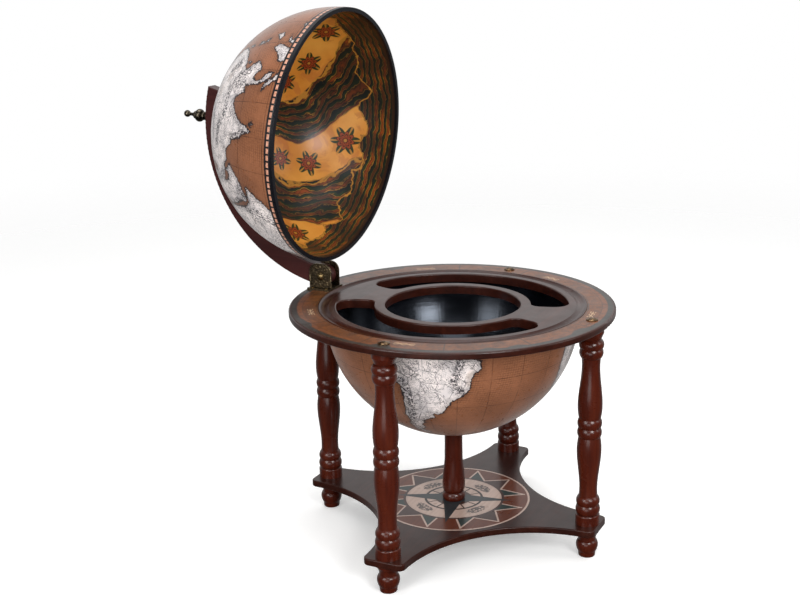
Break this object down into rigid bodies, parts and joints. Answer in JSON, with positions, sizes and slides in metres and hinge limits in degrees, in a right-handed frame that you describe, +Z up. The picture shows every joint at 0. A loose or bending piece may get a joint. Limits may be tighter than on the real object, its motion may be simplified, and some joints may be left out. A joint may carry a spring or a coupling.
{
  "type": "tabletop globe bar",
  "caption": "Tabletop drinks cabinet shaped as a globe: hinged spinning dome lid over a round tray with wells, on turned legs with a lower shelf.",
  "frame": {"origin": "on the floor under the centre of the round table, midway between the four feet", "axes": "+Z up, hinge and raised lid at the back towards +Y, front towards -Y, glass slots centred on +X and -X"},
  "size_m": [0.422, 0.6146, 0.6909],
  "materials": {
    "mahogany": "stained mahogany under gloss lacquer",
    "globe_print": "varnished map print, tan sea and pale land",
    "ring_print": "lacquered printed band",
    "compass_print": "lacquered compass rose print",
    "painted_lining": "satin printed lining, amber and green",
    "black_lacquer": "black gloss lacquer",
    "black_edging": "black satin paint",
    "antique_brass": "antique dark brass",
    "steel": "zinc plated"
  },
  "bodies": {
    "stand": {"ring_board": "mahogany", "ring_map_band": "ring_print", "drinks_tray": "mahogany", "tray_bead": "mahogany", "lower_globe_shell": "globe_print", "bowl_liner": "black_lacquer", "shelf_board": "mahogany", "compass_inlay": "compass_print", "centre_post": "mahogany", "leg_studs": "steel", "leg_inserts": "steel", "table_bolts": "antique_brass", "hinge_bolt": "steel", "post_washer": "steel", "post_top_screw": "steel", "post_bottom_screw": "steel", "hinge_bracket": "antique_brass", "hinge_screws": "antique_brass", "hinge_pin": "antique_brass", "hinge_pin_cap": "antique_brass", "leg_right": "mahogany", "leg_back": "mahogany", "leg_left": "mahogany", "leg_front": "mahogany", "foot_right": "mahogany", "foot_back": "mahogany", "foot_left": "mahogany", "foot_front": "mahogany"},
    "lid": {"meridian_arm": "mahogany", "pivot_spacer": "antique_brass", "pivot_washer": "antique_brass", "pivot_bolt": "antique_brass", "finial": "antique_brass"},
    "dome": {"upper_dome_shell": "globe_print", "dome_rim_edging": "black_edging", "dome_lining": "painted_lining", "dome_hub": "black_edging"}
  },
  "joints": [
    {"name": "lid_hinge", "type": "hinge", "parent": "stand", "child": "lid", "pos_m": [0, 0.1908, 0.3368], "axis": [1, 0, 0], "range_deg": [0, 86]},
    {"name": "dome_spin", "type": "hinge", "parent": "lid", "child": "dome", "pos_m": [0, 0.16003, 0.52591], "axis": [0, 0.9976, 0.0698], "continuous": true}
  ]
}
